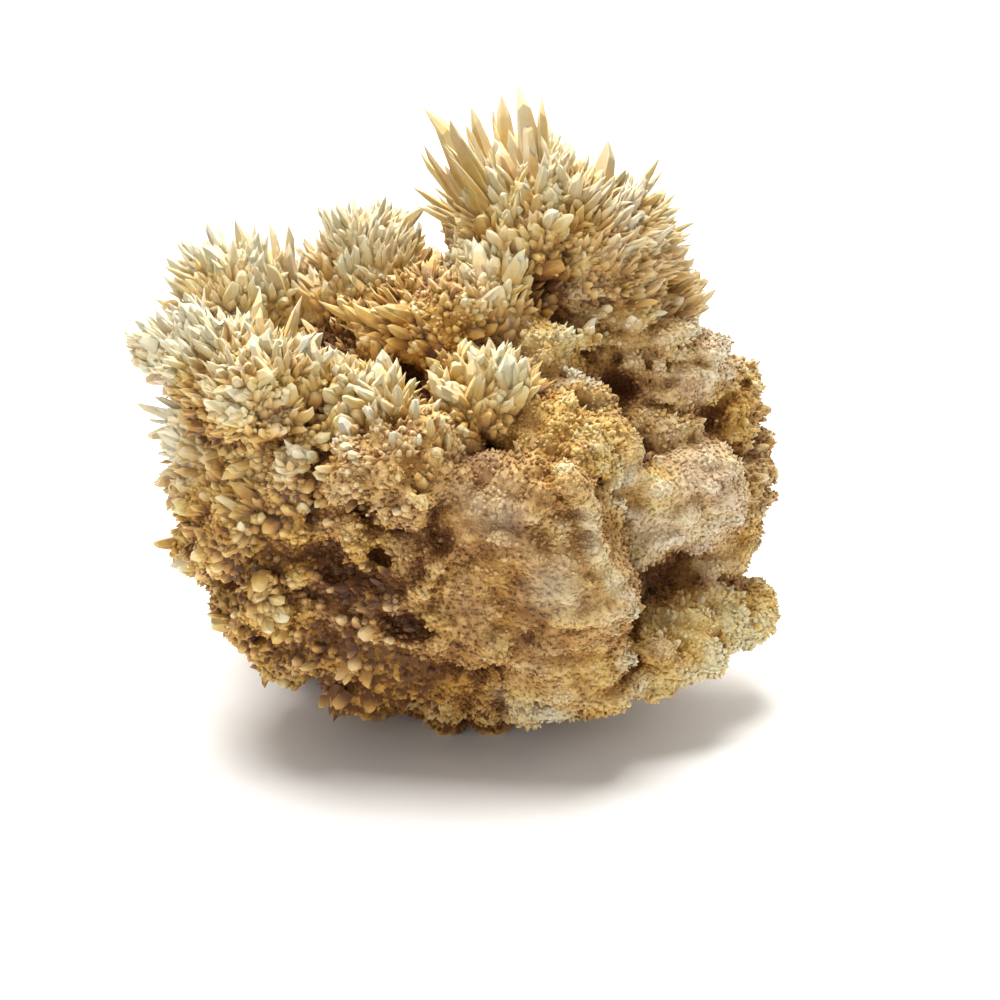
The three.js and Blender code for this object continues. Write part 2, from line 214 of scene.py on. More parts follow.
# The points, in mm, that the crystals of these lumps fan out from. Those of all others fan out from
# the middle of the heart.
sources = {
    "topSpray": (13, 12, 64),
    "topSprayRight": (10, 12, 64),
    "topNeck": (8, 12, 58),
    "backLeftSpray": (-30, 11, 50),
    "leftSpray": (-26, -8, 44),
    "leftEdge": (-28, -2, 54),
    "backMidSpray": (-13, 15, 56),
    "fanSpray": (7, 6, 52),
    "ridgeSpray": (9, 6, 53),
    "ridgeKnob": (12, 2, 52),
    "midSpray": (4, -7, 43),
    "smallSpray": (-10, -11, 42),
    "frontSpray": (-6, -18, 42),
}

# Hollows between the lumps, in mm: centre and half-axes. The first eight lie where the solid has
# its own, and are as large or a little smaller.
hollows = {
    "underTopSpray": ((14.5, 0, 67), (3, 6, 3.2)),
    "behindRidge": ((25.5, -4, 52.5), (4, 6, 3.2)),
    "rightElbowGap": ((41, 2, 46), (3, 5, 2.2)),
    "aboveLedge": ((34, -12, 24.5), (6, 7, 3.2)),
    "browGap": ((-1, -34, 39.4), (2.6, 5, 2.8)),
    "underFrontSpray": ((-12, -29, 43.5), (3.4, 5, 2.2)),
    "lowerGap": ((-5.5, -30, 25), (4, 4.5, 2.4)),
    "backGap": ((13, 38, 42), (5, 5, 4)),
    "leftLowGap": ((-15, -27, 31.6), (4.5, 5, 1.9)),
    "fanGap": ((-7.3, -6, 55.5), (5, 6, 2.8)),
    "scarpGap": ((29, -9, 44.5), (2.2, 4, 2)),
    "knobGap": ((12.5, -23, 46), (2.2, 4, 1.8)),
    "chinGap": ((27, -22, 15.5), (2.4, 5, 1.4)),
    "scarpCut": ((32.5, -28, 41), (10.5, 9, 10.5)),
    "leftBackGap": ((-23, 35, 35), (3.5, 5, 3)),
    "rightBackGap": ((36, 33, 38), (3, 5, 3)),
}

plainHollows = ("scarpCut",)  # those that get no painted shade

# Thin raised edges, in mm: their thickness and the points that they run through.
ridges = {
    "scarpTop": (1.7, ((18, -8, 58), (21.9, -8.5, 54), (24, -11, 51), (26.3, -13, 47.5), (26.5, -16, 43))),
    "scarp": (1.4, ((17, -29, 49), (20.3, -29.5, 43), (21.6, -30.5, 37), (24.3, -30, 32), (28, -27.5, 26))),
    "lip": (1.2, ((7.8, -26, 13), (11, -26.5, 10.6), (14.6, -26, 9.8), (22.8, -25, 11.2), (28, -21, 12.2))),
    "ledgeEdge": (
        1.2, ((28, -21, 12.2), (33, -19, 12.2), (39, -14.5, 12.4), (43, -9, 12.8), (47.5, -2, 13.6)),
    ),
}

# Clefts between the lumps, in mm: their radius and the points that they run through.
clefts = {
    "besideScarp": (2.0, ((22.5, -18, 44), (23.5, -18, 40), (25, -18, 36), (27.5, -17, 31.5))),
    "besideRidge": (1.9, ((12.2, 0, 70.5), (14.6, -1, 66), (17.4, -2, 62), (20.4, -3, 57.5), (22.8, -3, 53))),
}

massShape = {
    "step": 0.84,  # mm, the spacing of the grid that the surface is found on
    "margin": 3.0,  # mm of grid around the solid's box
    "shrink": 0.95,  # the crystals stand on this, so it lies a little inside the solid
    "soften": 2.4,  # mm over which neighbouring lumps flow into each other
    # how far the surface swells and sinks, each as (size of the waves, height of the waves) in mm
    "waves": ((7.0, 0.6), (1.1, 0.2)),
    "lumps": ((4.2, 1.1), (2.1, 0.75)),  # rounded lumps with creases between
    "creaseDepth": 0.8,  # as a share of the lumps' height
    "calmer": 0.25,  # how much flatter those are on the grained side
    "streaks": ((5.0, 2.2, 0.95), 0.55),  # flat-lying fibres on the grained side
    "streaksFrom": (4.0, 18.0),  # mm along x over which the fibres come in
    "tiers": ((6.0, 6.0, 1.9), 0.9),  # flat-lying rows of knobs on the other side
    "tiersFrom": (4.0, -8.0),
    "tiersBelow": (50.0, 40.0),  # mm in height over which the rows come in
    "highest": 2.5,  # mm, the most that all of these add up to
    "formSeed": 5,
    "reliefSeed": 8,
    "flatTo": 0.0,  # mm, where the mass is cut flat and rests on the floor
    "nearReach": 1.3,  # mm, how far round a place is looked at for small and for large gaps
    "farReach": 5.5,
    "tipShare": 0.5,  # its colour is that of a crystal halfway from root to tip
}

# Knobs that break up a lump, by what grows on it: radius in mm from and to, how many there are for
# each that would fit side by side, and how far a knob stands out as a share of its radius.
knobs = {
    "spears": dict(radius=(1.8, 3.2), share=0.35, proud=0.5),
    "needles": dict(radius=(1.4, 2.6), share=0.35, proud=0.4),
    "chunks": dict(radius=(1.8, 3.2), share=0.5, proud=0.6),
    "stubs": dict(radius=(1.1, 2.1), share=0.7, proud=1.0),
    "beads": dict(radius=(0.9, 1.9), share=0.6, proud=0.75),
    "sugar": dict(radius=(1.4, 3.6), share=0.3, proud=0.3),
}

# How small forms join the mass. uneven: times their size along each axis, from and to. reach: mm
# around them that they can change. soft: mm over which they flow into the rest.
joins = {
    "knob": dict(uneven=(0.8, 1.2), reach=1.5, soft=0.7),
    "ridge": dict(uneven=(0.7, 1.3), reach=1.5, soft=0.5),
    "cleft": dict(uneven=(0.7, 1.3), reach=1.5, soft=0.5),
    "hollow": dict(reach=2.0, soft=0.5),
}
lineStep = 0.7  # mm between the forms that make a ridge or a cleft

lumpNames = list(lumps)
lumpAt = np.array([lumps[name]["at"] for name in lumpNames], float)
lumpHalf = np.array([lumps[name]["half"] for name in lumpNames], float)
lumpCoat = np.array([lumps[name]["coat"] for name in lumpNames])
lumpSize = np.array([crystalSizes.get(name, 1.0) for name in lumpNames])
lumpSource = np.array([sources.get(name, lumps["heart"]["at"]) for name in lumpNames], float)


# each row scaled to length 1
def unit(rows):
    return rows / np.maximum(np.linalg.norm(rows, axis=-1, keepdims=True), 1e-9)


# how far points lie from the centre of every lump, 1 being on its face
def shareOut(points):
    return np.linalg.norm((points[:, None, :] - lumpAt) / lumpHalf, axis=2)


# The grid that holds how far each place lies outside the surface, in mm.
step = massShape["step"]
solidLow, solidHigh = (np.array(corner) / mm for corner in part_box(nodeName))
gridLow = solidLow - massShape["margin"]
gridHigh = solidHigh + massShape["margin"]
gridAxes = [np.arange(gridLow[i], gridHigh[i], step) for i in range(3)]
gridShape = tuple(len(axis) for axis in gridAxes)


# the part of the grid within reach of an ellipsoid, and the distance there to its face
def gapTo(at, half, reach):
    low = np.floor((np.array(at) - half - reach - gridLow) / step).astype(int)
    high = np.ceil((np.array(at) + half + reach - gridLow) / step).astype(int)
    block = tuple(slice(max(a, 0), max(b, 0)) for a, b in zip(low, high))
    offset = [gridAxes[i][block[i]] - at[i] for i in range(3)]
    x, y, z = np.meshgrid(*offset, indexing="ij", sparse=True)
    share = np.sqrt((x / half[0]) ** 2 + (y / half[1]) ** 2 + (z / half[2]) ** 2)
    slope = np.sqrt((x / half[0] ** 2) ** 2 + (y / half[1] ** 2) ** 2 + (z / half[2] ** 2) ** 2)
    return block, share * (share - 1) / np.maximum(slope, 1e-6)


# close places along a line through given ones
def alongLine(line):
    for a, b in zip(np.array(line[:-1], float), np.array(line[1:], float)):
        for share in np.arange(0, 1, lineStep / np.linalg.norm(b - a)):
            yield a + (b - a) * share


# how far points lie from a line through given places
def gapToLine(points, line):
    nearest = np.full(len(points), 1e9)
    for a, b in zip(np.array(line[:-1], float), np.array(line[1:], float)):
        share = np.clip((points - a) @ (b - a) / ((b - a) @ (b - a)), 0, 1)
        nearest = np.minimum(nearest, np.linalg.norm(points - a - share[:, None] * (b - a), axis=1))
    return nearest


# the lower of two distances, rounded off where they meet
def meet(a, b, soft):
    share = np.clip(0.5 + 0.5 * (b - a) / soft, 0, 1)
    return b * (1 - share) + a * share - soft * share * (1 - share)


# smooth random waves over the whole grid, about -1 to 1, of one size or of one size for each axis
def gridWaves(size, rng):
    counts = [int(gridShape[i] * step / size[i]) + 4 for i in range(3)]
    values = rng.normal(0, 1, counts).astype(np.float32)
    for i in range(3):
        place = np.arange(gridShape[i]) * step / size[i] + 1
        cell = place.astype(int)
        t = place - cell
        weights = np.zeros((gridShape[i], counts[i]), np.float32)
        rows = np.arange(gridShape[i])
        weights[rows, cell - 1] = (1 - t) ** 3 / 6
        weights[rows, cell] = (3 * t**3 - 6 * t**2 + 4) / 6
        weights[rows, cell + 1] = (-3 * t**3 + 3 * t**2 + 3 * t + 1) / 6
        weights[rows, cell + 2] = t**3 / 6
        values = np.moveaxis(np.tensordot(weights, values, axes=(1, i)), 0, i)
    return values / values.std()


# the mean of a grid over a cube around each place
def blurred(grid, reach):
    n = round(reach / step)
    for axis in range(3):
        padding = [(n + 1, n) if i == axis else (0, 0) for i in range(3)]
        total = np.cumsum(np.pad(grid, padding), axis=axis, dtype=np.float64)
        length = grid.shape[axis]
        upper = np.take(total, np.arange(length) + 2 * n + 1, axis=axis)
        lower = np.take(total, np.arange(length), axis=axis)
        grid = ((upper - lower) / (2 * n + 1)).astype(np.float32)
    return grid


# the value of a grid at any points in mm
def readGrid(grid, points):
    place = np.clip((points - gridLow) / step, 0, np.array(gridShape) - 1.001)
    cell = place.astype(int)
    share = place - cell
    total = np.zeros(len(points))
    for corner in np.ndindex(2, 2, 2):
        weight = np.prod(np.where(corner, share, 1 - share), axis=1)
        x, y, z = (cell + corner).T
        total += weight * grid[x, y, z]
    return total


# which way a grid falls at any points
def slopeOf(grid, points):
    shifts = np.eye(3) * step
    falls = [readGrid(grid, points - shift) - readGrid(grid, points + shift) for shift in shifts]
    return unit(np.stack(falls, 1))


# evenly turned places on one ellipsoid's face, and the way out of it there
def placesAround(at, half, count, rng):
    i = np.arange(count)
    height = 1 - 2 * (i + rng.random(count)) / count
    turn = i * math.pi * (3 - math.sqrt(5)) + rng.random(count)
    ring = np.sqrt(1 - height**2)
    out = np.stack([ring * np.cos(turn), ring * np.sin(turn), height], 1)
    return at + out * half, unit(out / half)


# 0 before the first of two limits, 1 past the second
def comesIn(values, limits):
    low, high = limits
    return np.clip((values - low) / (high - low), 0, 1).astype(np.float32)


# adds an ellipsoid to the mass
def addForm(field, at, half, reach, soft):
    block, gap = gapTo(at, half, reach)
    field[block] = meet(field[block], gap, soft)


# takes an ellipsoid out of it
def cutForm(field, at, half, reach, soft):
    block, gap = gapTo(at, half, reach)
    field[block] = -meet(-field[block], gap, soft)


# knobs over every lump, as many as its size and its coat give
def addKnobs(field, rng):
    join = joins["knob"]
    for at, half, coat in zip(lumpAt, lumpHalf * massShape["shrink"], lumpCoat):
        rules = knobs[coat]
        room = 4 * np.prod(half) ** (2 / 3) / np.mean(rules["radius"]) ** 2
        places, out = placesAround(at, half, int(room * rules["share"]), rng)
        radius = rng.uniform(*rules["radius"], len(places))
        centres = places + out * (radius * (rules["proud"] - 1))[:, None]
        for centre, size in zip(centres, radius):
            halfAxes = size * rng.uniform(*join["uneven"], 3)
            addForm(field, centre, halfAxes, join["reach"], join["soft"])


# a ridge or a cleft, as a row of forms along its line
def followLine(field, change, kind, radius, line, rng):
    join = joins[kind]
    for centre in alongLine(line):
        change(field, centre, radius * rng.uniform(*join["uneven"], 3), join["reach"], join["soft"])


# how far waves, lumps, fibres and tiers sink the surface, in mm
def reliefOf(rng):
    relief = np.zeros(gridShape, np.float32)
    for size, height in massShape["waves"]:
        relief += gridWaves((size, size, size), rng) * height
    grained = comesIn(gridAxes[0], massShape["streaksFrom"])[:, None, None]
    for size, height in massShape["lumps"]:
        sunk = massShape["creaseDepth"] - abs(gridWaves((size, size, size), rng))
        relief += sunk * height * (1 - grained * massShape["calmer"])
    size, height = massShape["streaks"]
    relief += gridWaves(size, rng) * height * grained
    size, height = massShape["tiers"]
    share = comesIn(gridAxes[0], massShape["tiersFrom"])[:, None, None]
    share = share * comesIn(gridAxes[2], massShape["tiersBelow"])
    relief += gridWaves(size, rng) * height * share
    highest = massShape["highest"]
    return np.tanh(relief / highest) * highest


# how far each place of the grid lies outside the mass, in mm
def massField():
    field = np.full(gridShape, massShape["margin"], np.float32)
    soft = massShape["soften"]
    for at, half in zip(lumpAt, lumpHalf * massShape["shrink"]):
        addForm(field, at, half, soft + massShape["margin"], soft)
    rng = np.random.default_rng(massShape["formSeed"])
    addKnobs(field, rng)
    for thickness, line in ridges.values():
        followLine(field, addForm, "ridge", thickness, line, rng)
    rng = np.random.default_rng(massShape["reliefSeed"])
    field += reliefOf(rng)
    for at, half in hollows.values():
        cutForm(field, at, np.array(half, float), joins["hollow"]["reach"], joins["hollow"]["soft"])
    for radius, line in clefts.values():
        followLine(field, cutForm, "cleft", radius, line, rng)
    floor = massShape["flatTo"] - gridAxes[2]
    return np.maximum(field, floor.astype(np.float32))


# The surface where a grid passes zero: one point in each cell that it passes, and a quad around
# each edge that it crosses.
def surfaceOf(field):
    inside = field < 0
    corners = list(np.ndindex(2, 2, 2))
    sizes = [n - 1 for n in field.shape]
    full = sum(inside[tuple(slice(o, o + n) for o, n in zip(c, sizes))].astype(np.int8) for c in corners)
    mixed = (full > 0) & (full < 8)
    cells = np.argwhere(mixed)
    number = np.full(mixed.shape, -1)
    number[mixed] = np.arange(len(cells))
    total, hits = np.zeros((len(cells), 3)), np.zeros(len(cells))
    quads = []
    for axis in range(3):
        ahead = np.eye(3, dtype=int)[axis]
        u, v = np.eye(3, dtype=int)[(axis + 1) % 3], np.eye(3, dtype=int)[(axis + 2) % 3]
        for offset in (0 * u, u, v, u + v):
            a = field[tuple((cells + offset).T)]
            b = field[tuple((cells + offset + ahead).T)]
            crossed = (a < 0) != (b < 0)
            share = np.where(crossed, a / np.where(a == b, 1, a - b), 0)
            total += (offset + share[:, None] * ahead) * crossed[:, None]
            hits += crossed
        low = tuple(slice(0, n - 1) if i == axis else slice(1, n - 1) for i, n in enumerate(field.shape))
        high = tuple(slice(1, n) if i == axis else slice(1, n - 1) for i, n in enumerate(field.shape))
        start, end = inside[low], inside[high]
        for leaving in (True, False):
            edges = np.argwhere((start != end) & (start == leaving)) + (1 - ahead)
            ring = [number[tuple((edges - shift).T)] for shift in (u + v, v, 0 * u, u)]
            quads.append(np.stack(ring if leaving else ring[::-1], 1))
    points = gridLow + (cells + total / hits[:, None]) * step
    return points, np.concatenate(quads)


# only the largest connected part of a surface
def largestPart(points, quads):
    label = np.arange(len(points))
    while True:
        low = label[quads].min(1)
        new = label.copy()
        np.minimum.at(new, quads.ravel(), np.repeat(low, 4))
        new = new[new]
        if (new == label).all():
            break
        label = new
    keep = label == np.bincount(label).argmax()
    renumber = np.cumsum(keep) - 1
    return points[keep], renumber[quads[keep[quads].all(1)]]


# a mesh from points in mm and faces as one flat list of corners with the size of each face
def meshFrom(name, points, corners, faceSizes):
    mesh = bpy.data.meshes.new(name)
    mesh.vertices.add(len(points))
    mesh.vertices.foreach_set("co", (points * mm).astype(np.float32).ravel())
    mesh.loops.add(len(corners))
    mesh.loops.foreach_set("vertex_index", corners.astype(np.int32))
    mesh.polygons.add(len(faceSizes))
    mesh.polygons.foreach_set("loop_start", (np.cumsum(faceSizes) - faceSizes).astype(np.int32))
    mesh.update(calc_edges=True)
    mesh.shade_flat()
    return mesh


def addValue(mesh, name, values):
    attribute = mesh.attributes.new(name, "FLOAT", "POINT")
    attribute.data.foreach_set("value", np.asarray(values, np.float32))


def addVector(mesh, name, rows):
    attribute = mesh.attributes.new(name, "FLOAT_VECTOR", "POINT")
    attribute.data.foreach_set("vector", np.asarray(rows, np.float32).ravel())


# Coloured places on the stone: centre and radius in mm, and what they add to the tone, the rosiness
# and the chalkiness.
stains = {
    "honeyKnob": ((16, -23, 49), 7.0, 0.05, -0.6, -0.2),
    "honeyElbow": ((42.5, 5, 46), 5.5, 0.16, -0.8, -0.3),
    "honeyCheek": ((29, -13, 41), 4.0, 0.1, -0.8, -0.3),
    "honeyWaist": ((45, 2, 27), 4.0, 0.14, -0.6, -0.3),
    "honeyLedge": ((38, -13, 15.5), 4.5, 0.26, -0.6, -0.4),
    "honeyLedgeEnd": ((48, -1, 14), 5.0, 0.1, -0.6, -0.2),
    "honeyChin": ((22, -28, 9.5), 3.5, 0.16, -0.4, -0.2),
    "honeyLow": ((-2, -27, 14), 9.0, 0.12, -0.2, -0.3),
    "brownLow": ((-10, -28, 29), 10.0, 0.2, 0.1, -0.3),
    "brownFront": ((-10, -28, 42), 5.0, 0.1, 0.1, -0.2),
    "greyBrow": ((6.4, -34, 44.5), 5.0, -0.04, 0.2, 0.3),
    "greyPatch": ((15.5, -35, 32), 4.5, 0.0, -0.1, 0.6),
    "palePatch": ((22, -34, 31), 6.0, -0.08, -0.1, 0.1),
    "whiteSpot": ((27, -27, 18.8), 2.0, -0.25, 0.0, 0.7),
    "whiteLip": ((13, -28, 9.5), 5.0, -0.15, 0.0, 0.3),
    "greyTop": ((1, 8, 70), 5.0, -0.04, 0.1, 0.5),
    # paleLeft: paler and chalkier, partly painted light where the thin crystals of the left edge look washed
    # out
    "paleLeft": ((-46, -3, 50), 16.0, -0.1, 0.15, 0.3),
}
# reach: mm beside a ridge, and a share of a hollow's half-axes. crisp: how sharply the paler ridge or the
# painted shade of a hollow ends.
ridgeStain = {"reach": 1.8, "crisp": 4, "tone": -0.24, "chalk": 0.3}
# painted shade: the hollows are darker, a little rosier and less chalky
hollowShade = {"reach": 1.2, "crisp": 6, "tone": 0.34, "rosy": 0.1, "chalk": -0.5}
stainCrisp = 4
lumpParting = 16  # how sharply the colour of one lump gives way to that of the next


# 1 in the middle of a stain, falling to 0 past its edge
def nearness(share, crisp):
    return np.exp(-(share**crisp))


# tone, rosiness and chalkiness at points, smoothed from lump to lump, with painted shade in the hollows
def stainsAt(points):
    shares = shareOut(points)
    weights = np.exp(-(shares - shares.min(1, keepdims=True)) * lumpParting)
    weights /= weights.sum(1, keepdims=True)
    tone = weights @ [lumps[name]["tone"] for name in lumpNames]
    rosy = weights @ [lumps[name]["rosy"] for name in lumpNames]
    chalk = np.zeros(len(points))
    for at, radius, toneChange, rosyChange, chalkChange in stains.values():
        near = nearness(np.linalg.norm(points - at, axis=1) / radius, stainCrisp)
        tone += near * toneChange
        rosy += near * rosyChange
        chalk += near * chalkChange
    for _, line in ridges.values():
        near = nearness(gapToLine(points, line) / ridgeStain["reach"], ridgeStain["crisp"])
        tone += near * ridgeStain["tone"]
        chalk += near * ridgeStain["chalk"]
    # painted shade: darker inside the hollows
    for name, (at, half) in hollows.items():
        if name in plainHollows:
            continue
        share = np.linalg.norm((points - at) / half, axis=1) / hollowShade["reach"]
        near = nearness(share, hollowShade["crisp"])
        tone += near * hollowShade["tone"]
        rosy += near * hollowShade["rosy"]
        chalk += near * hollowShade["chalk"]
    return dict(tone=tone, rosy=np.clip(rosy, 0, 1), chalk=chalk)


# What grows, by coat: length and width in mm of the crystals of each size, the share of places that
# they take, and how much paler they are. blunt: from and to, 0 being a sharp crystal. tuft: how much
# they lean together. fan: how much they lean away from the lump's source. vary: how much they
# differ in colour.
coats = {
    "spears": dict(
        large=(5.4, 2.3, 0.7, 0.08), medium=(4.2, 1.45, 1.0, 0.0), grain=(1.5, 0.8, 0.15, -0.05),
        blunt=(0.1, 0.8), tuft=0.85, fan=1.2, vary=0.6,
    ),
    "needles": dict(
        large=(4.6, 1.6, 0.55, 0.08), medium=(3.4, 1.15, 1.0, 0.0), grain=(1.2, 0.65, 0.5, -0.05),
        blunt=(0.1, 0.8), tuft=0.8, fan=1.2, vary=0.6,
    ),
    "chunks": dict(
        large=(4.2, 2.2, 0.6, 0.1), medium=(3.4, 1.4, 1.0, 0.0), grain=(1.3, 0.75, 0.25, -0.05),
        blunt=(0.2, 1.0), tuft=0.9, fan=0.9, vary=0.7,
    ),
    "stubs": dict(
        large=(3.1, 1.9, 0.45, 0.28), medium=(2.2, 1.2, 0.8, 0.06), grain=(1.1, 0.85, 0.7, -0.04),
        blunt=(0.2, 1.0), tuft=0.6, fan=0.15, vary=1.2,
    ),
    "beads": dict(
        large=(1.8, 1.6, 0.06, 0.2), medium=(1.4, 1.0, 0.45, 0.08), grain=(0.95, 0.86, 1.0, 0.0),
        blunt=(0.6, 1.0), tuft=0.3, fan=0.1, vary=1.5,
    ),
    "sugar": dict(
        large=(1.5, 1.6, 0.0, 0.0), medium=(1.1, 0.95, 0.14, 0.04), grain=(0.85, 0.84, 1.0, 0.0),
        blunt=(0.5, 1.0), tuft=0.3, fan=0.1, vary=1.0,
    ),
}

# Spacing in mm between crystals of one size, their sides, and their outline: heights of the rings
# along the crystal and their share of the width, for a sharp and for a blunt one.
sizes = {
    "large": dict(
        spacing=2.1, sides=6, heights=(0.06, 0.5, 0.82), sharp=(0.95, 0.92, 0.54), blunt=(0.9, 1.0, 0.8),
    ),
    "medium": dict(spacing=1.3, sides=5, heights=(0.1, 0.7), sharp=(0.95, 0.62), blunt=(0.9, 0.9)),
    "grain": dict(spacing=0.84, sides=4, heights=(0.55,), sharp=(0.95,), blunt=(1.0,)),
}

growth = {
    "outward": 0.5,  # how far the longer crystals point away from their lump's centre
    "jitter": {"large": 0.17, "medium": 0.22, "grain": 0.4},  # how much their directions differ
    "reach": (0.48, 1.0),  # how long a crystal is that lies level, and what pointing up adds
    "inTheOpen": 1.1,  # times the usual length, and how much of that is lost deep in a gap
    "lostInGap": 0.65,
    "lengthSpread": 0.44,
    "widthSpread": 0.28,
    "longest": 1.5,  # times the usual length
    "shortest": {"large": 0.4, "medium": 0.4, "grain": 0.75},
    "widest": 1.35,  # times the usual width
    "thickest": 0.95,  # width, as a share of the length
    "flatness": (0.75, 1.0),  # thickness, as a share of the width
    "largeBlunt": 0.6,  # how blunt the large crystals are, as a share of what their coat gives
    "upSharper": 0.7,  # how much sharper a crystal is that points up
    "paintedUpLight": 0.1,  # painted light: how much paler a crystal is that points up, as if lit from above
    "downLimit": -0.5,  # how far down one has to point to get the most painted shade
    "paintedLightByHeight": 0.19,  # painted light and shade: how much paler a crystal is at the top of its lump, and darker at its foot
    "nearSlope": 2,  # how much more the slope nearby counts than the slope further around
    "slant": 0.13,  # how far a tip is off the middle, as a share of the width
    "sink": 0.28,  # share of a crystal that is rooted in the mass
    "leastRise": 0.2,  # how far a crystal of length 1 has to rise from the surface
    "clearance": 0.97,  # how clear of other lumps a large crystal is, 1 being on their faces
    "clearAt": 0.6,  # the place along it that has to be clear
    "boxMargin": 0.3,  # mm that a tip may stand outside the solid's box
    "lowestTip": 0.3,  # mm above the floor
    "rootRoom": 0.4,  # how much higher a root has to be, as a share of its width
    "tries": 5,  # candidates for each place
    "seed": 11,
}


# evenly scattered places on a surface of quads, at most one in each small cube
def placesOn(points, quads, spacing, rng):
    triangles = np.concatenate([quads[:, [0, 1, 2]], quads[:, [0, 2, 3]]])
    a, b, c = (points[triangles[:, i]] for i in range(3))
    total = np.cumsum(np.linalg.norm(np.cross(b - a, c - a), axis=1))
    count = int(total[-1] / 2 / spacing**2 * growth["tries"])
    chosen = np.searchsorted(total, rng.random(count) * total[-1])
    u, v = rng.random((2, count))
    over = u + v > 1
    u, v = np.where(over, 1 - u, u), np.where(over, 1 - v, v)
    weights = np.stack([1 - u - v, u, v], 1)
    places = (points[triangles[chosen]] * weights[..., None]).sum(1)
    cubes = np.floor(places / spacing).astype(int)
    _, first = np.unique(cubes, axis=0, return_index=True)
    return places[first]


tufts = {
    "spacing": 4.0,  # mm
    "bias": 2.0,  # mm by which one tuft may take places from the next
    "lean": 0.4,  # how far its axis is off the way out of the mass
    "depth": 6.0,  # mm below the surface, where the crystals of one tuft come from
    "lengthSpread": 0.4,
    "toneSpread": 0.08,
    "edge": 0.5,  # how much shorter crystals are at the edge of a tuft
    "edgeTone": 0.1,  # how much darker they are there
    "edgeWidth": 1.2,  # mm
}


# the tufts over the whole mass: their middles, axes, and what their crystals have in common
def makeTufts(mass, rng):
    place = placesOn(mass["points"], mass["quads"], tufts["spacing"], rng)
    count = len(place)
    axis = unit(slopeOf(mass["far"], place) + rng.normal(0, tufts["lean"], (count, 3)))
    return dict(
        place=place, start=place - axis * tufts["depth"],
        bias=rng.uniform(0, tufts["bias"], count),
        length=np.exp(rng.normal(0, tufts["lengthSpread"], count)),
        tone=rng.normal(0, tufts["toneSpread"], count),
    )


# the tuft that each place belongs to, and how near its edge the place is
def tuftOf(place, tuft):
    chosen = np.zeros(len(place), int)
    edge = np.zeros(len(place))
    batch = 4000  # places at a time, so that the table of distances stays small
    for start in range(0, len(place), batch):
        some = slice(start, start + batch)
        away = np.linalg.norm(place[some][:, None] - tuft["place"], axis=2) - tuft["bias"]
        two = np.partition(away, 1, axis=1)[:, :2]
        chosen[some] = away.argmin(1)
        edge[some] = np.exp(-(two[:, 1] - two[:, 0]) / tufts["edgeWidth"])
    return chosen, edge


# a value of the coat that grows at each place
def coatValue(key, nearest):
    return np.array([coats[coat][key] for coat in lumpCoat])[nearest]


# the way out of the mass at each place, and the way that its crystal points
def directionsAt(place, nearest, member, sizeName, mass, tuft, rng):
    normal = slopeOf(mass["near"], place)
    if sizeName != "grain":
        outward = unit((place - lumpAt[nearest]) / lumpHalf[nearest] ** 2)
        normal = unit(normal * (1 - growth["outward"]) + outward * growth["outward"])
    lean, fan = coatValue("tuft", nearest)[:, None], coatValue("fan", nearest)[:, None]
    fromTuft = unit(place - tuft["start"][member])
    fromSource = unit(place - lumpSource[nearest])
    along = unit(normal * (1 - lean) + fromTuft * lean + fromSource * fan)
    return normal, unit(along + rng.normal(0, growth["jitter"][sizeName], (len(place), 3)))


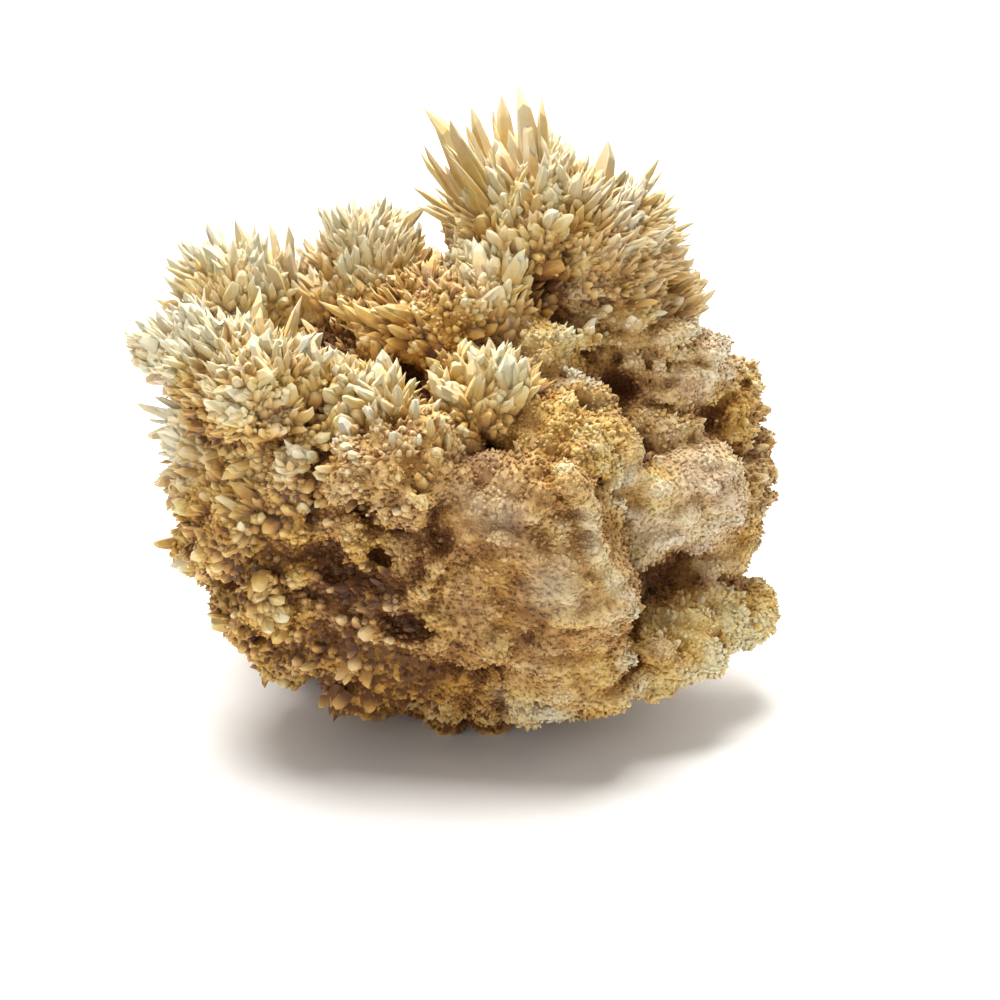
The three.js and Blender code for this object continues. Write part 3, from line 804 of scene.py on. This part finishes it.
# one size of crystal all over the mass, as roots, tips, widths and their colour values
def scatterSize(sizeName, mass, tuft, rng):
    place = placesOn(mass["points"], mass["quads"], sizes[sizeName]["spacing"], rng)
    nearest = shareOut(place).argmin(1)
    chosen = rng.random(len(place)) < coatValue(sizeName, nearest)[:, 2]
    place, nearest = place[chosen], nearest[chosen]
    usualLength, usualWidth, _, paler = coatValue(sizeName, nearest).T
    count = len(place)
    shut = recessAt(mass, place)
    member, edge = tuftOf(place, tuft)
    normal, along = directionsAt(place, nearest, member, sizeName, mass, tuft, rng)
    if sizeName != "grain":
        usualLength = usualLength * lumpSize[nearest]
        usualWidth = usualWidth * lumpSize[nearest]
    length = usualLength * np.exp(rng.normal(0, growth["lengthSpread"], count))
    room = growth["inTheOpen"] - growth["lostInGap"] * shut
    length *= tuft["length"][member] * room * (1 - tufts["edge"] * edge)
    if sizeName != "grain":
        level, rising = growth["reach"]
        length *= level + rising * np.clip(along[:, 2], 0, 1)
    width = usualWidth * np.exp(rng.normal(0, growth["widthSpread"], count))
    shortest = growth["shortest"][sizeName]
    length = np.clip(length, usualLength * shortest, usualLength * growth["longest"])
    width = np.minimum(width, np.minimum(length * growth["thickest"], usualWidth * growth["widest"]))
    root = place - along * (length * growth["sink"])[:, None]
    tip = place + along * (length * (1 - growth["sink"]))[:, None]
    keep = (along * normal).sum(1) > growth["leastRise"]
    blunt = coatValue("blunt", nearest)
    if sizeName == "large":
        blunt = blunt * growth["largeBlunt"]
        shares = shareOut(root + (tip - root) * growth["clearAt"])
        shares[np.arange(count), nearest] = np.inf
        keep &= shares.min(1) > growth["clearance"]
    margin = growth["boxMargin"]
    low, high = solidLow - margin, solidHigh + margin
    keep &= ((tip > low) & (tip < high)).all(1) & (tip[:, 2] > growth["lowestTip"])
    keep &= root[:, 2] > growth["lowestTip"] + width * growth["rootRoom"]
    grown = dict(root=root, tip=tip, width=width, recess=shut, **stainsAt(place))
    grown["soft"] = slopeOf(mass["near"], place)
    if sizeName != "grain":
        grown["soft"] = unit(grown["soft"] * growth["nearSlope"] + slopeOf(mass["far"], place))
    grown["blunt"] = rng.uniform(blunt[:, 0], blunt[:, 1])
    grown["vary"] = coatValue("vary", nearest)
    grown["tone"] += tuft["tone"][member] + edge * tufts["edgeTone"] - paler
    if sizeName != "grain":
        # painted light and shade: paler where a crystal points up or stands high on its lump, darker at its
        # foot
        height = np.clip((place - lumpAt[nearest])[:, 2] / lumpHalf[nearest, 2], -1, 1)
        upward = np.clip(along[:, 2], growth["downLimit"], 1)
        grown["tone"] -= growth["paintedUpLight"] * upward + growth["paintedLightByHeight"] * height
        grown["blunt"] *= 1 - growth["upSharper"] * np.clip(along[:, 2], 0, 1)
    return {key: values[keep] for key, values in grown.items()}


# the longest crystals, in mm: root, tip and width, as in the solid
leaders = {
    "topSpray": [
        ((5, 11, 77), (-2.8, 10, 94), 5.6),
        ((8, 15, 78), (3, 16, 92.5), 4),
        ((10, 16, 78), (8, 18, 94), 3.7),
        ((14, 12, 79), (10.7, 12, 96.7), 5.4),
        ((16, 16, 78), (15, 17, 90), 2.3),
        ((18, 14, 77), (17.5, 14, 87.5), 2.6),
        ((22, 13, 74), (25, 15, 87.5), 5.6),
        ((24, 11, 73), (32.3, 10, 86), 2.5),
        ((24, 14, 72), (33.4, 15, 83), 2),
        ((25, 12, 72), (35.3, 12, 79.6), 2.5),
        ((26, 10, 70), (34.7, 8, 77.5), 2.3),
        ((27, 12, 69), (37.6, 12, 73.6), 2.2),
        ((28, 9, 69), (36.7, 7, 72.4), 1.9),
        ((30, 12, 66), (38.5, 14, 67.3), 1.9),
        ((5, 13, 74), (-5, 16, 85.3), 2.2),
        ((4, 12, 74), (-6, 12, 81), 2),
        ((5, 10, 73), (-5.2, 8, 79), 2),
        ((6, 8, 79), (0, 4, 93), 3.1),
    ],
    "backLeftSpray": [
        ((-31, 11, 65), (-33, 12, 76), 3.3),
        ((-30, 10, 66), (-30, 9, 76), 2.2),
        ((-26, 11, 65), (-27.6, 13, 75), 2),
        ((-25, 9, 65), (-24.3, 8, 76), 3.4),
        ((-35, 10, 63), (-37.7, 12, 71.2), 2.6),
        ((-36, 9, 64), (-44, 8, 69.7), 1.9),
        ((-36, 10, 62), (-43.6, 12, 66.2), 1.9),
    ],
    "backMidSpray": [
        ((-16, 14, 68), (-19.8, 15, 76.8), 3.7),
        ((-14, 15, 68), (-15, 17, 78.2), 2.6),
        ((-12, 14, 68), (-11.4, 14, 77.5), 1.9),
        ((-11, 15, 67), (-9.5, 17, 75.5), 2),
        ((-10, 13, 66), (-6.7, 12, 74), 3.4),
    ],
    "leftEdge": [
        ((-39, -1, 59), (-46.2, 0, 64), 2.5),
        ((-39, -3, 57), (-47.6, -3, 58.2), 2.6),
        ((-37, -8, 55), (-43.5, -8, 58), 2.2),
        ((-39, -7, 49), (-47.6, -7, 52), 2.6),
    ],
    "leftSpray": [
        ((-28, -15, 61), (-27.7, -13, 71.7), 3.9),
        ((-25, -15, 59), (-21.3, -14, 70.8), 2.8),
        ((-25, -16, 59), (-18.8, -17, 66.5), 2),
        ((-32, -14, 59), (-36, -12, 67.8), 3.4),
    ],
    "fanSpray": [
        ((-8, 1, 60), (-20, 0, 65.8), 2.8),
        ((-8, 4, 61), (-16, 6, 69.2), 2.5),
    ],
    "midSpray": [
        ((5, -13, 56), (6.2, -12, 64), 1.9),
        ((6, -14, 55), (11.3, -15, 58.2), 2.2),
    ],
    "smallSpray": [
        ((-10, -17, 53), (-7.1, -15, 61.6), 2.6),
        ((-12, -17, 53), (-15, -14, 59), 2.2),
    ],
    "leftFlankLow": [
        ((-33, -6, 30), (-43, -7, 31.4), 3.9),
        ((-32, -8, 29), (-42, -10, 28), 2.8),
        ((-36, -5, 39), (-45.8, -4, 38.3), 2.3),
        ((-27, -8, 18), (-35, -6, 13.2), 2),
    ],
    "rightEdge": [((45, 11, 36), (51.8, 10, 36), 2.2)],
}

company = {
    "count": 7,  # smaller crystals beside each leading one
    "length": (0.4, 0.8),  # from and to, as shares of the leading one
    "width": (0.3, 0.65),
    "own": 0.9,  # width of the leading one, as a share of that in the solid
    "tone": -0.2,  # added to the tone of the stone there, so they are paler; partly painted light, like the paleness that high, upward crystals are given elsewhere
    "blunt": (0, 0.4),
    "vary": 0.6,
    "lean": 0.2,  # how far they lean away from the leading one
    "spread": 0.5,  # how far from the leading one, as a share of its width
    "sink": 2.5,  # mm that a leading crystal goes on into the mass
}


# the leading crystals, each with smaller ones beside it
def leadingCrystals(mass, rng):
    roots, tips, widths, places = [], [], [], []
    for rows in leaders.values():
        for root, tip, width in rows:
            root, tip = np.array(root, float), np.array(tip, float)
            along = unit(tip - root)
            reach = np.linalg.norm(tip - root)
            roots.append(root - along * company["sink"])
            tips.append(tip)
            widths.append(width * company["own"])
            places.append(root)
            for _ in range(company["count"]):
                lean = unit(along + rng.uniform(-1, 1, 3) * company["lean"])
                start = root + rng.uniform(-1, 1, 3) * width * company["spread"]
                roots.append(start - lean * company["sink"])
                tips.append(start + lean * reach * rng.uniform(*company["length"]))
                widths.append(width * rng.uniform(*company["width"]))
                places.append(root)
    leading = dict(
        root=np.array(roots), tip=np.clip(tips, solidLow, solidHigh), width=np.array(widths),
        recess=np.zeros(len(roots)), blunt=rng.uniform(*company["blunt"], len(roots)),
        vary=np.full(len(roots), company["vary"]),
        soft=slopeOf(mass["far"], np.array(places)), **stainsAt(np.array(places)),
    )
    leading["tone"] += company["tone"]
    return leading


def together(*groups):
    return {key: np.concatenate([group[key] for group in groups]) for key in groups[0]}


# the faces of one crystal: its corners in order, three to a face or four, and a flat place for each
def crystalFaces(rings, sides, levels):
    corners, faceSizes, places = [], [], []
    tip = rings * sides + 1
    for s in range(sides):
        after = (s + 1) % sides
        left, right, middle = s / sides, (s + 1) / sides, (s + 0.5) / sides
        corners += [0, 1 + after, 1 + s]
        places += [(middle, 0), (right, levels[0]), (left, levels[0])]
        faceSizes.append(3)
        for ring in range(rings - 1):
            low, high = 1 + ring * sides, 1 + (ring + 1) * sides
            corners += [low + s, low + after, high + after, high + s]
            below, above = levels[ring], levels[ring + 1]
            places += [(left, below), (right, below), (right, above), (left, above)]
            faceSizes.append(4)
        last = 1 + (rings - 1) * sides
        corners += [last + s, last + after, tip]
        places += [(left, levels[-1]), (right, levels[-1]), (middle, 1)]
        faceSizes.append(3)
    return np.array(corners), np.array(faceSizes), np.array(places)


# how much the corners of a crystal are off: around it in radians, out from it and along it as shares
cornerSpread = {"around": 0.12, "out": 0.09, "along": 0.03}


# all crystals of one size as a single mesh of closed, faceted spears
def crystalMesh(name, grown, sizeName, rng):
    rules = sizes[sizeName]
    count, sides = len(grown["width"]), rules["sides"]
    heights = np.array(rules["heights"])
    rings = len(heights)
    reach = grown["tip"] - grown["root"]
    along = unit(reach)
    side = unit(np.cross(along, np.where(abs(along[:, 2:]) < 0.9, [[0, 0, 1]], [[1, 0, 0]])))
    across = np.cross(along, side)
    blunt = grown["blunt"][:, None]
    radii = np.array(rules["sharp"]) * (1 - blunt) + np.array(rules["blunt"]) * blunt
    turn = rng.uniform(0, 2 * math.pi, count)[:, None] + np.arange(sides) * 2 * math.pi / sides
    turn = turn + rng.normal(0, cornerSpread["around"], (count, sides))
    uneven = 1 + rng.normal(0, cornerSpread["out"], (count, 1, sides))
    radius = radii[:, :, None] * uneven * grown["width"][:, None, None] / 2
    height = heights[None, :, None] + rng.normal(0, cornerSpread["along"], (count, rings, sides))
    spin = turn[:, None, :]
    flatness = rng.uniform(*growth["flatness"], count)[:, None, None]
    ringPoints = (
        grown["root"][:, None, None]
        + reach[:, None, None] * height[..., None]
        + side[:, None, None] * (radius * np.cos(spin))[..., None]
        + across[:, None, None] * (radius * np.sin(spin) * flatness)[..., None]
    ).reshape(count, rings * sides, 3)
    offset = rng.normal(0, growth["slant"], (count, 2)) * grown["width"][:, None]
    tips = grown["tip"] + side * offset[:, :1] + across * offset[:, 1:]
    points = np.concatenate([grown["root"][:, None], ringPoints, tips[:, None]], 1)
    corners, faceSizes, places = crystalFaces(rings, sides, heights)
    perCrystal = rings * sides + 2
    allCorners = (corners[None] + np.arange(count)[:, None] * perCrystal).ravel()
    mesh = meshFrom(name, points.reshape(-1, 3), allCorners, np.tile(faceSizes, count))
    ends = np.ones((count, 1))
    tipShare = np.concatenate([0 * ends, height.reshape(count, -1), ends], 1)
    addValue(mesh, "tipShare", tipShare.ravel())
    for key in ("tone", "rosy", "chalk", "recess"):
        addValue(mesh, key, np.repeat(grown[key], perCrystal))
    addValue(mesh, "chance", np.repeat((rng.random(count) - 0.5) * grown["vary"], perCrystal))
    addVector(mesh, "soft", np.repeat(grown["soft"], perCrystal, axis=0))
    layOut(mesh, places, count)
    return mesh


mapMargin = 0.08  # of a square on the colour map


# gives each crystal, or each face of the mass, a square of its own on the colour map
def layOut(mesh, places, count):
    across = math.ceil(math.sqrt(count))
    column, row = np.arange(count) % across, np.arange(count) // across
    cells = np.stack([column, row], 1)[:, None]
    spots = (cells + mapMargin + (1 - 2 * mapMargin) * places[None]) / across
    layer = mesh.uv_layers.new(name="OFBake")
    layer.uv.foreach_set("vector", spots.astype(np.float32).ravel())


# What counts as a gap, by how much stone lies near a place and further around it: the share of it
# on level ground, and how strongly more than that counts.
gapRules = {"near": (0.24, 1.5), "far": (0.42, 1.1), "above": 0.8, "openest": -0.4}  # above in mm


# how shut in points are, from below 0 on a knob to 1 deep in a gap
def recessAt(mass, points):
    above = points + slopeOf(mass["near"], points) * gapRules["above"]
    shut = np.zeros(len(points))
    for reach in ("near", "far"):
        level, weight = gapRules[reach]
        shut += (readGrid(mass[reach], above) - level) * weight
    return np.clip(shut, gapRules["openest"], 1)


def makeMass():
    field = massField()
    points, quads = largestPart(*surfaceOf(field))
    solid = (field < 0).astype(np.float32)
    mass = dict(
        points=points, quads=quads,
        near=blurred(solid, massShape["nearReach"]),
        far=blurred(solid, massShape["farReach"]),
    )
    mesh = meshFrom("mass", points, quads.ravel(), np.full(len(quads), 4))
    for name, values in stainsAt(points).items():
        addValue(mesh, name, values)
    addValue(mesh, "recess", recessAt(mass, points))
    addValue(mesh, "tipShare", np.full(len(points), massShape["tipShare"]))
    addValue(mesh, "chance", np.zeros(len(points)))
    addVector(mesh, "soft", slopeOf(mass["near"], points))
    layOut(mesh, np.array([(0, 0), (1, 0), (1, 1), (0, 1)]), len(quads))
    return mesh, mass


colours = {
    # from pale to dark, for yellow and for rosy stone
    "yellow": (
        (0.0, (0.75, 0.69, 0.475)), (0.25, (0.74, 0.61, 0.315)), (0.5, (0.70, 0.465, 0.14)),
        (0.75, (0.48, 0.245, 0.05)), (1.0, (0.16, 0.06, 0.012)),
    ),
    "rosy": (
        (0.0, (0.76, 0.69, 0.56)), (0.25, (0.72, 0.58, 0.42)), (0.5, (0.58, 0.40, 0.225)),
        (0.75, (0.36, 0.195, 0.08)), (1.0, (0.13, 0.05, 0.016)),
    ),
    "chalk": (0.70, 0.67, 0.51),
}

stone = {
    # clouds in the stone: size in mm, and how finely they are broken up
    "broad": (13.0, 3.0),
    "patch": (4.5, 2.0),
    "fine": (1.0, 3.0),
    "tint": (7.0, 2.0),
    "pale": (5.0, 3.0),
    "shift": (3.1, 1.7, 4.3),  # keeps the last two apart from the others
    "patchShare": 0.9,  # how much these darken and lighten it, next to the broad ones
    "fineShare": 0.7,
    "rosyShare": 1.6,  # how much the tint clouds turn it from yellow to rosy
    "chalkShare": 0.3,  # how much the pale clouds make it chalky
    "chalkCover": 0.6,  # how much of the colour full chalk covers
    "roughShare": 0.4,  # how much rougher it is in the patches
    "frostNarrow": 3.0,  # how near to the tips the frost keeps
    "bumpHeight": 0.8,  # mm
    "ior": 1.6,
    "scatter": (1.0, 0.93, 0.8),  # how far red, green and blue light spread in it
}

# deeper: how much darker all of it is. fade: how much darker the root is than the tip. stain and shade: how
# much darker the gaps are, partly their iron-stained colour and partly painted shade. mottle: how much clouds
# of all sizes darken and lighten it. each: how crystals differ. frost: how pale the tips are. radius: mm that
# light spreads. soft: how far each facet is shaded as the stone around it, at the tip and at the root.
finishes = {
    "crystal": dict(
        deeper=0.2, fade=0.36, stainAndShade=0.5, mottle=0.32, each=0.17, frost=0.2, roughness=0.42, gloss=0.22,
        subsurface=0.9, radius=0.32, relief=0.0, soft=(0.68, 0.95),
    ),
    "grain": dict(
        deeper=0.04, fade=0.15, stainAndShade=0.5, mottle=0.4, each=0.14, frost=0.1, roughness=0.5, gloss=0.12,
        subsurface=0.3, radius=0.15, relief=0.0, soft=(0.45, 0.8),
    ),
    "mass": dict(
        deeper=0.03, fade=0.0, stainAndShade=0.45, mottle=0.5, each=0.0, frost=0.0, roughness=0.55, gloss=0.12,
        subsurface=0.5, radius=0.5, relief=1.0, soft=(0.2, 0.2),
    ),
}


# short ways to add nodes to a node tree
class Nodes:
    def __init__(self, tree):
        self.tree = tree

    def add(self, kind, inputs=(), **settings):
        node = self.tree.nodes.new(kind)
        for key, value in settings.items():
            setattr(node, key, value)
        for key, value in dict(inputs).items():
            if isinstance(value, bpy.types.NodeSocket):
                self.tree.links.new(value, node.inputs[key])
            else:
                node.inputs[key].default_value = value
        return node

    def math(self, operation, a, b=0.0, clamp=False):
        return self.add("ShaderNodeMath", {0: a, 1: b}, operation=operation, use_clamp=clamp).outputs[0]

    def plus(self, a, b, times=1.0):
        return self.math("ADD", a, self.math("MULTIPLY", b, times))

    def value(self, name, output="Fac"):
        return self.add("ShaderNodeAttribute", attribute_name=name).outputs[output]

    # the direction of each facet, turned towards that of the stone around it, more so at the root
    def softened(self, tipShare, rootShare):
        root = self.math("SUBTRACT", 1.0, self.value("tipShare"))
        share = self.plus(tipShare, root, rootShare - tipShare)
        facet = self.add("ShaderNodeNewGeometry").outputs["Normal"]
        settings = {"Factor": share, 4: facet, 5: self.value("soft", "Vector")}
        mixed = self.add("ShaderNodeMix", settings, data_type="VECTOR").outputs[1]
        return self.add("ShaderNodeVectorMath", {0: mixed}, operation="NORMALIZE").outputs[0]

    # clouds around zero, of a size in mm
    def clouds(self, place, size, detail=2.0):
        settings = {"Vector": place, "Scale": 1 / (size * mm), "Detail": detail}
        return self.math("SUBTRACT", self.add("ShaderNodeTexNoise", settings).outputs["Fac"], 0.5)

    def ramp(self, factor, stops):
        node = self.add("ShaderNodeValToRGB", {"Fac": factor})
        elements = node.color_ramp.elements
        elements[0].position, elements[1].position = stops[0][0], stops[-1][0]
        elements[0].color, elements[1].color = (*stops[0][1], 1), (*stops[-1][1], 1)
        for place, colour in stops[1:-1]:
            elements.new(place).color = (*colour, 1)
        return node.outputs["Color"]

    def blend(self, share, a, b):
        node = self.add("ShaderNodeMix", {"Factor": share}, data_type="RGBA")
        for socket, colour in ((node.inputs["A"], a), (node.inputs["B"], b)):
            if isinstance(colour, bpy.types.NodeSocket):
                self.tree.links.new(colour, socket)
            else:
                socket.default_value = (*colour, 1)
        return node.outputs["Result"]


def stoneGroup():
    tree = bpy.data.node_groups.new("stone", "ShaderNodeTree")
    for name in ("Deeper", "Fade", "Stainandshade", "Mottle", "Each", "Frost", "Roughness"):
        tree.interface.new_socket(name, in_out="INPUT", socket_type="NodeSocketFloat")
    tree.interface.new_socket("Colour", in_out="OUTPUT", socket_type="NodeSocketColor")
    tree.interface.new_socket("Roughness", in_out="OUTPUT", socket_type="NodeSocketFloat")
    tree.interface.new_socket("Height", in_out="OUTPUT", socket_type="NodeSocketFloat")
    nodes = Nodes(tree)
    given = nodes.add("NodeGroupInput").outputs
    place = nodes.add("ShaderNodeTexCoord").outputs["Object"]
    broad, patch, fine = (nodes.clouds(place, *stone[name]) for name in ("broad", "patch", "fine"))
    shifted = nodes.add("ShaderNodeMapping", {"Vector": place, "Location": stone["shift"]}).outputs[0]
    tint, pale = (nodes.clouds(shifted, *stone[name]) for name in ("tint", "pale"))
    root = nodes.math("SUBTRACT", 1.0, nodes.value("tipShare"))
    depth = nodes.plus(nodes.math("ADD", nodes.value("tone"), given["Deeper"]), root, given["Fade"])
    # painted shade: darker by how shut in a place is, on top of the iron-stained colour of the gaps
    depth = nodes.plus(depth, nodes.value("recess"), given["Stainandshade"])
    cloud = nodes.plus(nodes.plus(broad, patch, stone["patchShare"]), fine, stone["fineShare"])
    depth = nodes.plus(depth, cloud, given["Mottle"])
    depth = nodes.plus(depth, nodes.value("chance"), given["Each"])
    nearTip = nodes.math("POWER", nodes.value("tipShare"), stone["frostNarrow"])
    depth = nodes.math("SUBTRACT", depth, nodes.math("MULTIPLY", nearTip, given["Frost"]))
    tinted = nodes.math("MULTIPLY", tint, stone["rosyShare"])
    rosy = nodes.math("ADD", nodes.value("rosy"), tinted, clamp=True)
    colour = nodes.blend(rosy, nodes.ramp(depth, colours["yellow"]), nodes.ramp(depth, colours["rosy"]))
    chalk = nodes.math("ADD", nodes.value("chalk"), nodes.math("MULTIPLY", pale, stone["chalkShare"]))
    cover = nodes.math("MULTIPLY", chalk, stone["chalkCover"], clamp=True)
    colour = nodes.blend(cover, colour, colours["chalk"])
    rougher = nodes.math("MULTIPLY", patch, stone["roughShare"])
    rough = nodes.math("ADD", given["Roughness"], rougher, clamp=True)
    out = nodes.add("NodeGroupOutput")
    tree.links.new(colour, out.inputs["Colour"])
    tree.links.new(rough, out.inputs["Roughness"])
    tree.links.new(fine, out.inputs["Height"])
    return tree


def finish(name, group):
    values = finishes[name]
    material = bpy.data.materials.new(name)
    material.use_nodes = True
    nodes = Nodes(material.node_tree)
    shader = material.node_tree.nodes["Principled BSDF"]
    look = nodes.add("ShaderNodeGroup", node_tree=group)
    for key in ("deeper", "fade", "stainAndShade", "mottle", "each", "frost", "roughness"):
        look.inputs[key.capitalize()].default_value = values[key]
    bump = nodes.add("ShaderNodeBump", {
        "Strength": values["relief"], "Distance": stone["bumpHeight"] * mm,
        "Normal": nodes.softened(*values["soft"]),
    })
    links = material.node_tree.links
    links.new(look.outputs["Height"], bump.inputs["Height"])
    links.new(look.outputs["Colour"], shader.inputs["Base Color"])
    links.new(look.outputs["Roughness"], shader.inputs["Roughness"])
    links.new(bump.outputs["Normal"], shader.inputs["Normal"])
    shader.inputs["IOR"].default_value = stone["ior"]
    shader.inputs["Specular IOR Level"].default_value = values["gloss"]
    shader.inputs["Subsurface Weight"].default_value = values["subsurface"]
    shader.inputs["Subsurface Radius"].default_value = stone["scatter"]
    shader.inputs["Subsurface Scale"].default_value = values["radius"] * mm
    return material


def addPiece(name, mesh, material):
    mesh.materials.append(material)
    piece = bpy.data.objects.new(name, mesh)
    bpy.context.collection.objects.link(piece)
    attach(piece, bodyName)
    triangles = sum(len(face.vertices) - 2 for face in mesh.polygons)
    print(f"{name}: {triangles} triangles")
    return piece


# adds all crystals of one size, as so many pieces
def addCrystals(name, grown, sizeName, parts, material, rng):
    edges = np.linspace(0, len(grown["width"]), parts + 1).astype(int)
    for i in range(parts):
        some = {key: values[edges[i]:edges[i + 1]] for key, values in grown.items()}
        pieceName = f"{name}{i + 1}" if parts > 1 else name
        addPiece(pieceName, crystalMesh(pieceName, some, sizeName, rng), material)


addCamera()
addLamps()
addFloor()
addSky()
print("stage ready")

mesh, mass = makeMass()
print("mass ready")

group = stoneGroup()
crystalFinish, grainFinish, massFinish = (finish(name, group) for name in finishes)
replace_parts(addPiece("mass", mesh, massFinish), nodeName)

rng = np.random.default_rng(growth["seed"])
tuft = makeTufts(mass, rng)
large = together(leadingCrystals(mass, rng), scatterSize("large", mass, tuft, rng))
addCrystals("largeCrystals", large, "large", 1, crystalFinish, rng)
medium = scatterSize("medium", mass, tuft, rng)
addCrystals("mediumCrystals", medium, "medium", 2, crystalFinish, rng)
grains = scatterSize("grain", mass, tuft, rng)
addCrystals("grains", grains, "grain", 3, grainFinish, rng)
print("crystals ready")
